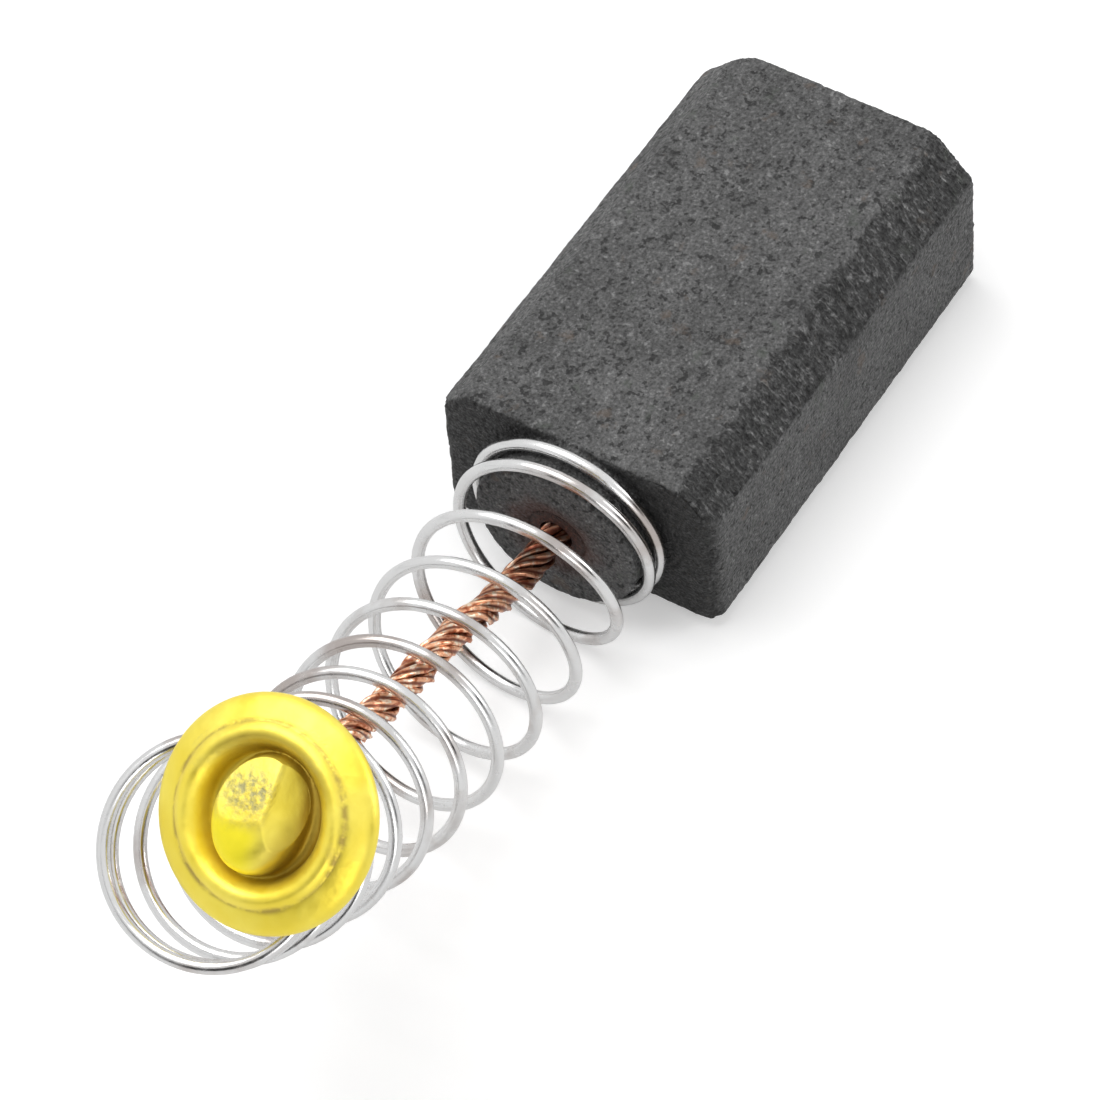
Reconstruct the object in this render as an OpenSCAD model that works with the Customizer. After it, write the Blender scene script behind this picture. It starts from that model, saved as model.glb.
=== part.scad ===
// Carbon brush for a small electric motor: block with spigot, spring, copper shunt and brass contact cap.
// Origin at the centre of the wear face, +X out of that face, +Z up. Millimetres.

/* [Block] */
// Length of the block along X, without its spigot
block_length = 13.3; // [10:0.1:20]
// Width of the block along Y
block_width = 8; // [6:0.1:12]
// Height of the block along Z
block_height = 4.9; // [4.8:0.1:8]
// Width of the chamfer along each top edge, at the spring end
chamfer_width = 0.88; // [0.4:0.02:1.2]
// Drop of that chamfer down the side, at the spring end
chamfer_drop = 0.9; // [0.4:0.02:1.2]
// Extra drop of the chamfer at the wear face
chamfer_growth = 0.3; // [0:0.05:0.6]
// Radius worn on the upright corners at the wear face
worn_corner_r = 0.55; // [0.1:0.05:1]
// Radius worn on the upright corners at the spring end
back_corner_r = 0.3; // [0.1:0.05:0.8]
// Size of the largest chip on the long edges
chip_size = 0.34; // [0.1:0.02:0.6]

/* [Spigot] */
// Diameter of the round spigot that carries the spring
spigot_d = 4.7; // [4:0.05:6]
// Length of the spigot
spigot_length = 1.15; // [0.8:0.05:2]
// Chamfer round the end of the spigot
spigot_chamfer = 0.12; // [0.05:0.01:0.3]

/* [Spring] */
// Diameter of the spring wire
wire_d = 0.33; // [0.2:0.01:0.4]
// Play between the spring's turns and the spigot
spring_play = 0.08; // [0.03:0.01:0.3]
// Closed turns at the block
closed_turns_block = 1; // [0.75:0.05:1.5]
// Closed turns at the cap
closed_turns_cap = 1.2; // [0.75:0.05:1.5]
// Open turns between the closed ends
open_turns = 8.7; // [5:0.1:12]
// Pitch of the open turns
open_pitch = 1.98; // [1.2:0.02:2.4]
// Gap between the closed turns at the block
block_turn_gap = 0.12; // [0.02:0.01:0.3]
// Gap between the closed turns at the cap
cap_turn_gap = 0.03; // [0.02:0.01:0.2]

/* [Bend of the spring] */
// Straight length of the spring before it bends
straight_length = 2.6; // [1.5:0.1:6]
// Radius of the bend, at the middle of the spring
bend_radius = 17.2; // [14:0.1:30]
// Angle of the bend
bend_angle = 52; // [0:1:60]
// Lean of the bend towards the -Y side
bend_lean = 10; // [0:1:20]

/* [Shunt] */
// Diameter of the twisted copper shunt
shunt_d = 0.87; // [0.6:0.01:1.2]
// Number of strands round the middle one
outer_strands = 6; // [6]
// Length of one full twist of the strands
twist_length = 4.4; // [3:0.1:7]
// Furthest that the shunt runs from the middle of the spring
shunt_hug = 1.88; // [0:0.02:1.9]
// Depth of the shunt in the block
shunt_depth = 2.4; // [1.5:0.1:4]
// Diameter of the hole that the shunt is tamped into
tamping_d = 1.7; // [1.4:0.05:2.4]

/* [Cap] */
// Outer diameter of the brass cap
cap_d = 5.5; // [5.3:0.05:6.5]
// Thickness of the cap's sheet
sheet = 0.25; // [0.15:0.01:0.28]
// Height of the cap's shoulder, just inside its rounded rim
shoulder_height = 0.5; // [0.45:0.05:0.7]
// Height of the raised ring round the cap's mouth
ring_height = 0.95; // [0.85:0.05:1.3]
// Width of that ring
ring_width = 0.62; // [0.56:0.02:0.8]
// Diameter of the mouth inside the ring
mouth_d = 3.1; // [2.8:0.05:3.3]
// Diameter of the dome that grips the shunt
dome_d = 2.45; // [2:0.05:2.6]
// Height of the dome above the cap's back
dome_height = 1.25; // [1.1:0.05:1.6]
// Shift of the cap towards the inside of the bend
cap_shift_in = 1.66; // [0:0.02:1.7]
// Shift of the cap towards the -Y side
cap_shift_side = 1.0; // [0:0.02:1.1]
// Tilt of the cap against the last turn, towards the +Y side
cap_tilt = 8.5; // [0:0.5:10]
// Tilt of the cap against the last turn, towards the outside of the bend
cap_lean = 5; // [0:0.5:8]

/* [Fits] */
// Clearance between pieces that touch
clearance = 0.03; // [0.02:0.01:0.08]

/* [Hidden] */
wire_r = wire_d / 2;
coil_r = spigot_d / 2 + spring_play + wire_r;
ramp_turns_block = 1;
ramp_turns_cap = 0.5;
closed_pitch_block = wire_d + block_turn_gap;
closed_pitch_cap = wire_d + cap_turn_gap;
turns = closed_turns_block + ramp_turns_block + open_turns + ramp_turns_cap + closed_turns_cap;
coil_start_s = wire_r + clearance;
coil_start_angle = 183;
coil_segments = 19;
wire_sides = 8;
bend_length = bend_radius * bend_angle * PI / 180;

shunt_r = shunt_d / 2;
strand_pitch_r = shunt_d / 3;
strand_r = shunt_d / 6 - clearance / 2;
core_r = strand_r - clearance / 2;
strand_sides = 6;
// Rings of each strand in one full twist
twist_rings = 12;

// Unit vector along v
function unit(v) = v / norm(v);
// Smooth step of x from 0 at a to 1 at b
function ease(x, a, b) = let (t = min(max((x - a) / (b - a), 0), 1)) t * t * (3 - 2 * t);

// The spring's axis leaves the block along -X and then bends upwards in one plane.
// s is the distance along it from the block's end face.
function bend_at(s) = min(max((s - straight_length) / bend_radius * 180 / PI, 0), bend_angle);
function axis_run(s) = min(s, straight_length) + bend_radius * sin(bend_at(s))
    + max(s - straight_length - bend_length, 0) * cos(bend_angle);
function axis_rise(s) = bend_radius * (1 - cos(bend_at(s)))
    + max(s - straight_length - bend_length, 0) * sin(bend_angle);
function leaned(x, rise) = [x, -rise * sin(bend_lean), rise * cos(bend_lean)];
function axis_point(s) = leaned(-block_length - axis_run(s), axis_rise(s));
function axis_dir(s) = leaned(-cos(bend_at(s)), sin(bend_at(s)));
function axis_in(s) = leaned(sin(bend_at(s)), cos(bend_at(s)));
axis_side = [0, cos(bend_lean), sin(bend_lean)];

// Distance along the axis that the wire has climbed after so many turns
function ramp(t, length, from, to) = let (x = min(max(t, 0), length))
    from * x + (to - from) * x * x / (2 * length);
ramp_start = closed_turns_block;
open_start = ramp_start + ramp_turns_block;
open_end = open_start + open_turns;
closed_start = open_end + ramp_turns_cap;
function climb(t) = closed_pitch_block * min(t, ramp_start)
    + ramp(t - ramp_start, ramp_turns_block, closed_pitch_block, open_pitch)
    + open_pitch * min(max(t - open_start, 0), open_turns)
    + ramp(t - open_end, ramp_turns_cap, open_pitch, closed_pitch_cap)
    + closed_pitch_cap * max(t - closed_start, 0);
function coil_s(t) = coil_start_s + climb(t);
function coil_angle(t) = coil_start_angle + 360 * t;
function outward(s, angle) = cos(angle) * axis_in(s) + sin(angle) * axis_side;
spring_end_s = coil_s(turns);

// The cap's back plane, its axis and its middle
cap_lift = wire_r + clearance + cap_d / 2 * sin(cap_tilt) + clearance;
end_dir = axis_dir(spring_end_s);
end_in = axis_in(spring_end_s);
cap_axis = unit(end_dir * cos(cap_tilt) + axis_side * sin(cap_tilt) - end_in * sin(cap_lean));
cap_point = axis_point(spring_end_s) + end_dir * cap_lift + end_in * cap_shift_in
    - axis_side * cap_shift_side;

// The shunt leaves its hole along the spring's axis, drifts to the inside of the bend and ends in the dome,
// which it fills up to this share of its height.
shunt_fill = 0.4;
shunt_end_s = spring_end_s + cap_lift + shunt_fill * dome_height;
// Where the shunt starts to drift, how far the drift takes, and where it turns in to the dome
shunt_bend_start = 1.1;
shunt_bend_length = 6.4;
shunt_turn_in = 0.62 * spring_end_s;
function shunt_offset(s) = shunt_hug * ease(s, shunt_bend_start, shunt_bend_start + shunt_bend_length)
    + (cap_shift_in - shunt_hug) * ease(s, shunt_turn_in, spring_end_s);
function shunt_point(s) = axis_point(s) + axis_in(s) * shunt_offset(s)
    - axis_side * cap_shift_side * ease(s, shunt_turn_in, spring_end_s);
shunt_start_s = spigot_length - shunt_depth;
shunt_rings = ceil((shunt_end_s - shunt_start_s) / twist_length * twist_rings);
shunt_s = [for (i = [0:shunt_rings]) shunt_start_s + (shunt_end_s - shunt_start_s) * i / shunt_rings];

// Frame of the shunt at distance s: along it, towards the inside of the bend, and sideways
function shunt_along(s) = unit(shunt_point(s + 0.05) - shunt_point(s - 0.05));
function shunt_side(s) = unit(cross(shunt_along(s), axis_in(s)));
function shunt_in(s) = cross(shunt_side(s), shunt_along(s));
function strand_point(s, angle) = shunt_point(s)
    + strand_pitch_r * (cos(angle) * shunt_in(s) + sin(angle) * shunt_side(s));

// A tube swept along a path; refs are directions across the path that keep its rings from turning
module sweep(path, refs, r, sides) {
    last = len(path) - 1;
    rings = [for (i = [0:last])
        let (
            t = unit(path[min(i + 1, last)] - path[max(i - 1, 0)]),
            x = unit(refs[i] - t * (refs[i] * t)),
            y = cross(t, x)
        )
        for (k = [0:sides - 1]) path[i] + r * (cos(360 * k / sides) * x + sin(360 * k / sides) * y)];
    walls = [for (i = [0:last - 1], k = [0:sides - 1])
        let (a = i * sides + k, b = i * sides + (k + 1) % sides)
        each [[a, a + sides, b + sides], [a, b + sides, b]]];
    start = [for (k = [0:sides - 1]) k];
    end = [for (k = [sides - 1:-1:0]) last * sides + k];
    polyhedron(points = rings, faces = concat([start, end], walls));
}

// What a worn upright corner loses: the square corner outside a quarter round
module corner_loss(r, height) {
    difference() {
        translate([-r, -r, -height / 2])
            cube([2 * r, 2 * r, height]);
        translate([-r, -r, -height / 2 - 1])
            cylinder(h = height + 2, r = r, $fn = 32);
    }
}

// Long wedge cut off one top edge, dropping towards the wear face
module edge_chamfer() {
    reach = 1;
    slope = chamfer_width / chamfer_drop;
    growth_angle = atan(chamfer_growth / block_length);
    translate([-block_length, block_width / 2, block_height / 2])
        rotate([0, growth_angle, 0])
            translate([-reach, 0, 0])
                rotate([90, 0, 90])
                    linear_extrude(height = block_length + 2 * reach)
                        polygon([
                            [-chamfer_width - reach * slope, reach],
                            [reach * slope, -chamfer_drop - reach],
                            [reach * slope + reach, reach]
                        ]);
}

// Small bites along the long edges and at the corners
module chips() {
    top = block_height / 2;
    side = block_width / 2;
    translate([-chip_size, side - chamfer_width - 0.1, top + chip_size * 0.35])
        sphere(r = chip_size, $fn = 20);
    translate([-2 * chip_size, -side + chamfer_width + 0.2, top + chip_size * 0.5])
        sphere(r = chip_size * 0.9, $fn = 20);
    translate([-block_length + chip_size * 2, side + chip_size * 0.4, top - chamfer_drop])
        sphere(r = chip_size * 0.8, $fn = 20);
    translate([-block_length * 0.62, -side - chip_size * 0.45, -top - chip_size * 0.3])
        sphere(r = chip_size, $fn = 20);
    translate([-block_length, -side - chip_size * 0.2, -top - chip_size * 0.2])
        sphere(r = chip_size, $fn = 20);
}

module spigot() {
    overlap = 0.5;
    translate([-block_length + overlap, 0, 0])
        rotate([0, -90, 0])
            rotate_extrude($fn = 64)
                polygon([
                    [0, 0],
                    [spigot_d / 2, 0],
                    [spigot_d / 2, spigot_length + overlap - spigot_chamfer],
                    [spigot_d / 2 - spigot_chamfer, spigot_length + overlap],
                    [0, spigot_length + overlap]
                ]);
}

module carbon_block() {
    tamping_depth = shunt_depth + 0.6;
    color("dimgray")
        difference() {
            union() {
                difference() {
                    translate([-block_length, -block_width / 2, -block_height / 2])
                        cube([block_length, block_width, block_height]);
                    edge_chamfer();
                    mirror([0, 1, 0])
                        edge_chamfer();
                    for (m = [0, 1])
                        mirror([0, m, 0]) {
                            translate([0, block_width / 2, 0])
                                corner_loss(worn_corner_r, block_height + 2);
                            translate([-block_length, block_width / 2, 0])
                                mirror([1, 0, 0])
                                    corner_loss(back_corner_r, block_height + 2);
                        }
                    chips();
                }
                spigot();
            }
            translate([-block_length - spigot_length - 1, 0, 0])
                rotate([0, 90, 0])
                    cylinder(h = tamping_depth + 1, d = tamping_d, $fn = 48);
        }
}

module contact_tamping() {
    plug_depth = shunt_depth + 0.6 - clearance;
    sunk = 0.12;
    color("sienna")
        translate([-block_length - spigot_length + plug_depth, 0, 0])
            rotate([0, -90, 0])
                difference() {
                    cylinder(h = plug_depth - sunk, d = tamping_d - 2 * clearance, $fn = 48);
                    translate([0, 0, plug_depth - shunt_depth - clearance])
                        cylinder(h = plug_depth, r = shunt_r + clearance, $fn = 32);
                }
}

module shunt_core() {
    color("peru")
        sweep([for (s = shunt_s) shunt_point(s)], [for (s = shunt_s) shunt_in(s)], core_r, strand_sides);
}

module shunt_strand(number) {
    start = 360 * number / outer_strands;
    angles = [for (s = shunt_s) start + 360 * (s - shunt_start_s) / twist_length];
    points = [for (i = [0:shunt_rings]) strand_point(shunt_s[i], angles[i])];
    refs = [for (i = [0:shunt_rings]) points[i] - shunt_point(shunt_s[i])];
    color("peru")
        sweep(points, refs, strand_r, strand_sides);
}

module spring() {
    steps = ceil(turns * coil_segments);
    at = [for (i = [0:steps]) turns * i / steps];
    refs = [for (t = at) outward(coil_s(t), coil_angle(t))];
    points = [for (i = [0:steps]) axis_point(coil_s(at[i])) + coil_r * refs[i]];
    color("silver")
        sweep(points, refs, wire_r, wire_sides);
}

// Half section of the cap, pressed from one sheet: rounded rim, shoulder, raised ring and flat floor.
// inset is how far under the outer skin it runs.
module cap_section(inset) {
    rim_r = sheet + 0.1;
    rim_inner_r = rim_r - inset;
    rim_middle = [cap_d / 2 - rim_r, shoulder_height - rim_r];
    ring_r = max(ring_width / 2 - inset, 0.02);
    ring_middle = (mouth_d + ring_width) / 2;
    crown = ring_height - ring_width / 2;
    bottom = inset > 0 ? -1 : 0;
    polygon(concat(
        [[0, bottom], [cap_d / 2 - inset, bottom]],
        [for (a = [0:15:90]) rim_middle + rim_inner_r * [cos(a), sin(a)]],
        [for (a = [0:15:180]) [ring_middle, crown] + ring_r * [cos(a), sin(a)]],
        [[ring_middle - ring_r, sheet - inset], [0, sheet - inset]]
    ));
}

// Dome with two flats pressed by the crimping tool: direction, lean and distance from the middle
dome_flats = [[252, 34, 0.25], [140, 50, 0.55]];
module dome(inset) {
    r = dome_d / 2 - inset;
    round_r = r * 0.55;
    top = dome_height - inset;
    bottom = inset > 0 ? -1 : 0;
    difference() {
        rotate_extrude($fn = 48)
            polygon(concat(
                [[0, bottom], [r, bottom]],
                [for (a = [0:15:90]) [r - round_r, top - round_r] + round_r * [cos(a), sin(a)]],
                [[0, top]]
            ));
        for (flat = dome_flats)
            rotate([0, 0, flat[0]])
                translate([r * flat[2], 0, top - 0.08])
                    rotate([0, flat[1], 0])
                        translate([-dome_d, -dome_d, 0])
                            cube([2 * dome_d, 2 * dome_d, dome_d]);
    }
}

module terminal_cap() {
    turn = atan2(cap_axis[1], cap_axis[0]);
    lean = acos(cap_axis[2]);
    color("gold")
        translate(cap_point)
            rotate([0, lean, turn])
                difference() {
                    union() {
                        rotate_extrude($fn = 72)
                            cap_section(0);
                        dome(0);
                    }
                    difference() {
                        rotate_extrude($fn = 72)
                            cap_section(sheet);
                        translate([0, 0, -2])
                            cylinder(h = 4, d = mouth_d, $fn = 48);
                    }
                    dome(sheet);
                }
}

carbon_block();
contact_tamping();
shunt_core();
shunt_strand(1);  // shunt_strand_1
shunt_strand(2);  // shunt_strand_2
shunt_strand(3);  // shunt_strand_3
shunt_strand(4);  // shunt_strand_4
shunt_strand(5);  // shunt_strand_5
shunt_strand(6);  // shunt_strand_6
spring();
terminal_cap();
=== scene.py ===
import bpy
import math
from mathutils import Matrix, Vector, noise


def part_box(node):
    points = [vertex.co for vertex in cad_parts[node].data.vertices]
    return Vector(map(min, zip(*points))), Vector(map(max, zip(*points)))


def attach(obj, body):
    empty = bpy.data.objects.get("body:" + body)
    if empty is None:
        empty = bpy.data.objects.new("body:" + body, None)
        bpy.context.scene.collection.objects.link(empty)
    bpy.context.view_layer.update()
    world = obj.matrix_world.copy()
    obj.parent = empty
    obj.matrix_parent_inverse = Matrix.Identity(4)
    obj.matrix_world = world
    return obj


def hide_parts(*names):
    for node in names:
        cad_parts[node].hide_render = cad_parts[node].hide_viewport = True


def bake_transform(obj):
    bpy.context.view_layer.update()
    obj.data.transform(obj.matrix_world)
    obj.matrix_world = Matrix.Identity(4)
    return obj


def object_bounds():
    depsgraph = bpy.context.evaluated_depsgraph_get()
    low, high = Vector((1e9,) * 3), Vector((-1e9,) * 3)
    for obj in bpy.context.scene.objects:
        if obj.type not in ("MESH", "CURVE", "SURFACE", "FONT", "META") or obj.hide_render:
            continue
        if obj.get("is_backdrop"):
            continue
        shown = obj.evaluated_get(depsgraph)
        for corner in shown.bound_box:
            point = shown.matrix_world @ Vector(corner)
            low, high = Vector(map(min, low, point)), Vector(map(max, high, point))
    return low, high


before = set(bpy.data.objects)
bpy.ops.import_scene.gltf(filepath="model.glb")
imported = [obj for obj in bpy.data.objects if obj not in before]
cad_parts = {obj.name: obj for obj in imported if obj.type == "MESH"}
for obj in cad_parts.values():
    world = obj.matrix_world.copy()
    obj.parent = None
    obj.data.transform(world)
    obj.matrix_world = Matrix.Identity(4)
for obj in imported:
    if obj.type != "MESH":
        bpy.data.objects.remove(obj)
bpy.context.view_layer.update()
print("frame loaded")

toMetres = 0.001  # pieces are modelled in millimetres and brought to metres when they are finished


cameraSetup = {
    "place": (-87.105, -53.034, 119.805),
    "looks": (0.48330, 0.35372, -0.80081),
    "roll": -5.59,
    "lens": 196.36,
    "sensor": 36,
}


def makeCamera(setup):
    data = bpy.data.cameras.new("camera")
    data.lens = setup["lens"]
    data.sensor_width = setup["sensor"]
    data.clip_start = 0.01
    data.clip_end = 10
    camera = bpy.data.objects.new("camera", data)
    bpy.context.scene.collection.objects.link(camera)
    turn = Vector(setup["looks"]).to_track_quat("-Z", "Y").to_matrix().to_4x4()
    roll = Matrix.Rotation(math.radians(setup["roll"]), 4, "Z")
    camera.matrix_world = Matrix.Translation(Vector(setup["place"]) * toMetres) @ turn @ roll
    bpy.context.scene.camera = camera


makeCamera(cameraSetup)


def addNode(tree, kind, links=(), **values):
    node = tree.nodes.new(kind)
    for name, value in values.items():
        if name in node.inputs:
            node.inputs[name].default_value = value
        else:
            setattr(node, name, value)
    for socket, source in links:
        tree.links.new(source, node.inputs[socket])
    return node


def rampNode(tree, source, stops):
    ramp = addNode(tree, "ShaderNodeValToRGB", [("Fac", source)])
    elements = ramp.color_ramp.elements
    while len(elements) < len(stops):
        elements.new(0.5)
    for element, (place, shade) in zip(elements, stops):
        element.position = place
        element.color = shade if len(shade) == 4 else opaque(shade)
    return ramp.outputs["Color"]


def grey(level):
    return (level, level, level, 1)


def opaque(colour):
    return (*colour, 1)


def toneRamp(tree, source, stops):
    # a ramp of greys: each stop is a place and a level
    return rampNode(tree, source, [(place, grey(level)) for place, level in stops])


def mixColour(tree, factor, first, second, blend="MIX"):
    node = tree.nodes.new("ShaderNodeMix")
    node.data_type = "RGBA"
    node.blend_type = blend
    for index, value in ((0, factor), (6, first), (7, second)):
        if isinstance(value, bpy.types.NodeSocket):
            tree.links.new(value, node.inputs[index])
        else:
            node.inputs[index].default_value = value
    return node.outputs[2]


def levelOf(tree, colour):
    return addNode(tree, "ShaderNodeRGBToBW", [("Color", colour)]).outputs["Val"]


def maths(tree, operation, first, second=0.0):
    node = tree.nodes.new("ShaderNodeMath")
    node.operation = operation
    for index, value in enumerate((first, second)):
        if isinstance(value, bpy.types.NodeSocket):
            tree.links.new(value, node.inputs[index])
        else:
            node.inputs[index].default_value = value
    return node.outputs[0]


def clamped(tree, value):
    return maths(tree, "MAXIMUM", maths(tree, "MINIMUM", value, 1.0), 0.0)


def painted(tree, name):
    # a mark painted on the piece's own mesh, from 0 to 1
    return addNode(tree, "ShaderNodeAttribute", attribute_name=name).outputs["Fac"]


def groupTree(name, inputs, outputs):
    tree = bpy.data.node_groups.new(name, "ShaderNodeTree")
    for label, kind, value in inputs:
        socket = tree.interface.new_socket(label, in_out="INPUT", socket_type=kind)
        if value is not None:
            socket.default_value = value
    for label, kind in outputs:
        tree.interface.new_socket(label, in_out="OUTPUT", socket_type=kind)
    return tree, tree.nodes.new("NodeGroupInput"), tree.nodes.new("NodeGroupOutput")


def placeGroup(tree, group, links=(), **values):
    node = tree.nodes.new("ShaderNodeGroup")
    node.node_tree = group
    for name, value in values.items():
        node.inputs[name].default_value = value
    for socket, source in links:
        tree.links.new(source, node.inputs[socket])
    return node


def grainGroup():
    # fine speckle over a slower drift; Size is the speckle's width in metres
    tree, given, result = groupTree(
        "grain",
        [("Vector", "NodeSocketVector", None), ("Size", "NodeSocketFloat", 0.0001),
         ("Drift", "NodeSocketFloat", 0.0015)],
        [("Fine", "NodeSocketFloat"), ("Coarse", "NodeSocketFloat"), ("Height", "NodeSocketFloat")],
    )
    place = given.outputs["Vector"]
    fineScale = maths(tree, "DIVIDE", 1.0, given.outputs["Size"])
    coarseScale = maths(tree, "DIVIDE", 1.0, given.outputs["Drift"])
    fine = addNode(tree, "ShaderNodeTexNoise", [("Vector", place), ("Scale", fineScale)],
                   Detail=2.0, Roughness=0.6)
    pits = addNode(tree, "ShaderNodeTexVoronoi", [("Vector", place), ("Scale", fineScale)])
    coarse = addNode(tree, "ShaderNodeTexNoise", [("Vector", place), ("Scale", coarseScale)],
                     Detail=4.0, Roughness=0.55)
    pitted = maths(tree, "MULTIPLY", pits.outputs["Distance"], 0.5)
    height = maths(tree, "ADD", fine.outputs["Fac"], pitted)
    tree.links.new(fine.outputs["Fac"], result.inputs["Fine"])
    tree.links.new(coarse.outputs["Fac"], result.inputs["Coarse"])
    tree.links.new(height, result.inputs["Height"])
    return tree


def scratchGroup():
    # thin marks; they run along one direction where the coordinates given are shrunk that way
    tree, given, result = groupTree(
        "scratches",
        [("Vector", "NodeSocketVector", None), ("Width", "NodeSocketFloat", 0.00004),
         ("Amount", "NodeSocketFloat", 0.3)],
        [("Mask", "NodeSocketFloat")],
    )
    scale = maths(tree, "DIVIDE", 1.0, given.outputs["Width"])
    lines = addNode(tree, "ShaderNodeTexNoise", [("Vector", given.outputs["Vector"]), ("Scale", scale)],
                    Detail=1.0, Roughness=0.4)
    edge = maths(tree, "SUBTRACT", 0.72, maths(tree, "MULTIPLY", given.outputs["Amount"], 0.3))
    mask = maths(tree, "MULTIPLY", maths(tree, "SUBTRACT", lines.outputs["Fac"], edge), 9.0)
    tree.links.new(clamped(tree, mask), result.inputs["Mask"])
    return tree


grain = grainGroup()
scratches = scratchGroup()


def startMaterial(name):
    material = bpy.data.materials.new(name)
    material.use_nodes = True
    tree = material.node_tree
    shader = tree.nodes["Principled BSDF"]
    place = tree.nodes.new("ShaderNodeTexCoord").outputs["Object"]
    return material, tree, shader, place


def stretched(tree, place, scale):
    return addNode(tree, "ShaderNodeMapping", [("Vector", place)], Scale=scale).outputs["Vector"]


def bumped(tree, shader, height, depth, strength=1.0):
    bump = addNode(tree, "ShaderNodeBump", [("Height", height)], Strength=strength, Distance=depth)
    tree.links.new(bump.outputs["Normal"], shader.inputs["Normal"])


graphiteLook = {
    "base": 0.097, "pit": 0.018, "fleck": 0.32,
    "brown": (0.125, 0.098, 0.08), "green": (0.085, 0.095, 0.082), "stain": (0.085, 0.028, 0.018),
    "grainSize": 0.000085, "pitSize": 0.00021, "pitDrift": 0.0007, "mottle": 0.00042, "drift": 0.0021,
    "rubStretch": (0.07, 1, 1), "rubWidth": 0.00010, "rubAmount": 0.25,
    "rubStrength": 0.3, "rubTone": 1.9,
    "cutStretch": (1, 0.40, 0.40), "cutSize": 0.00011, "cutDrift": 0.0006,
    "roughness": (0.52, 0.82), "specular": 0.35,
    "bumpDepth": 0.00005, "bumpStrength": 0.9, "pitHeight": 2.2, "cutHeight": 4.0, "dustEven": 0.35,
    # ramps, each stop a place and a level; the levels of the speckle are shares of the base
    "speckTones": [(0.26, 0.42), (0.44, 0.84), (0.58, 1.14), (0.76, 2.1)],
    "driftTones": [(0.28, 0.78), (0.72, 1.22)],
    "mottleTones": [(0.34, 0.88), (0.66, 1.12)],
    "cutTones": [(0.34, 0.36), (0.48, 0.82), (0.58, 1.2), (0.68, 2.9)],
    "poreMask": [(0.36, 0.9), (0.41, 0)],
    "fleckMask": [(0.655, 0), (0.72, 0.55)],
    "brownMask": [(0.64, 0), (0.72, 0.6)],
    "greenMask": [(0.28, 0.6), (0.36, 0)],
}


def graphiteMaterial(look):
    material, tree, shader, place = startMaterial("graphite")
    speck = placeGroup(tree, grain, [("Vector", place)], Size=look["grainSize"], Drift=look["drift"])
    level = look["base"]
    speckStops = [(stop, level * share) for stop, share in look["speckTones"]]
    base = toneRamp(tree, speck.outputs["Fine"], speckStops)
    drift = toneRamp(tree, speck.outputs["Coarse"], look["driftTones"])
    base = mixColour(tree, 1.0, base, drift, "MULTIPLY")
    mottle = placeGroup(tree, grain, [("Vector", place)], Size=look["mottle"], Drift=look["drift"])
    patches = toneRamp(tree, mottle.outputs["Fine"], look["mottleTones"])
    base = mixColour(tree, 1.0, base, patches, "MULTIPLY")
    # open pores, pale flecks and a few brown and green grains
    pores = placeGroup(tree, grain, [("Vector", place)], Size=look["pitSize"], Drift=look["pitDrift"])
    poreMask = toneRamp(tree, pores.outputs["Fine"], look["poreMask"])
    base = mixColour(tree, poreMask, base, grey(look["pit"]))
    fleckMask = toneRamp(tree, pores.outputs["Fine"], look["fleckMask"])
    base = mixColour(tree, fleckMask, base, grey(look["fleck"]))
    brownMask = toneRamp(tree, pores.outputs["Coarse"], look["brownMask"])
    base = mixColour(tree, brownMask, base, opaque(look["brown"]))
    greenMask = toneRamp(tree, pores.outputs["Coarse"], look["greenMask"])
    base = mixColour(tree, greenMask, base, opaque(look["green"]))
    # rub marks along the block
    along = stretched(tree, place, look["rubStretch"])
    lines = placeGroup(tree, scratches, [("Vector", along)],
                       Width=look["rubWidth"], Amount=look["rubAmount"])
    rubbed = maths(tree, "MULTIPLY", lines.outputs["Mask"], look["rubStrength"])
    base = mixColour(tree, rubbed, base, grey(level * look["rubTone"]))
    # short marks across the scraped chamfer
    scraped = painted(tree, "scraped")
    across = stretched(tree, place, look["cutStretch"])
    cuts = placeGroup(tree, grain, [("Vector", across)], Size=look["cutSize"], Drift=look["cutDrift"])
    cutTone = toneRamp(tree, cuts.outputs["Fine"], look["cutTones"])
    base = mixColour(tree, scraped, base, mixColour(tree, 1.0, base, cutTone, "MULTIPLY"))
    # painted shade for each face, as the light falls on it, together with paler rubbed edges and the
    # scraped chamfer's darker finish
    tone = toneRamp(tree, painted(tree, "tone"), [(0, 0), (1, 1)])
    base = mixColour(tree, 1.0, base, tone, "MULTIPLY")
    # copper dust pressed into the graphite round the shunt
    uneven = maths(tree, "ADD", pores.outputs["Fine"], look["dustEven"])
    dusty = maths(tree, "MULTIPLY", painted(tree, "dust"), uneven)
    base = mixColour(tree, dusty, base, opaque(look["stain"]))
    tree.links.new(base, shader.inputs["Base Color"])
    low, high = look["roughness"]
    rough = toneRamp(tree, speck.outputs["Fine"], [(0.35, high), (0.7, low)])
    tree.links.new(rough, shader.inputs["Roughness"])
    shader.inputs["Specular IOR Level"].default_value = look["specular"]
    pitHeight = maths(tree, "MULTIPLY", pores.outputs["Fine"], look["pitHeight"])
    height = maths(tree, "ADD", speck.outputs["Height"], pitHeight)
    onlyScraped = maths(tree, "MULTIPLY", cuts.outputs["Fine"], scraped)
    cutHeight = maths(tree, "MULTIPLY", onlyScraped, look["cutHeight"])
    bumped(tree, shader, maths(tree, "ADD", height, cutHeight), look["bumpDepth"], look["bumpStrength"])
    return material


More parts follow.
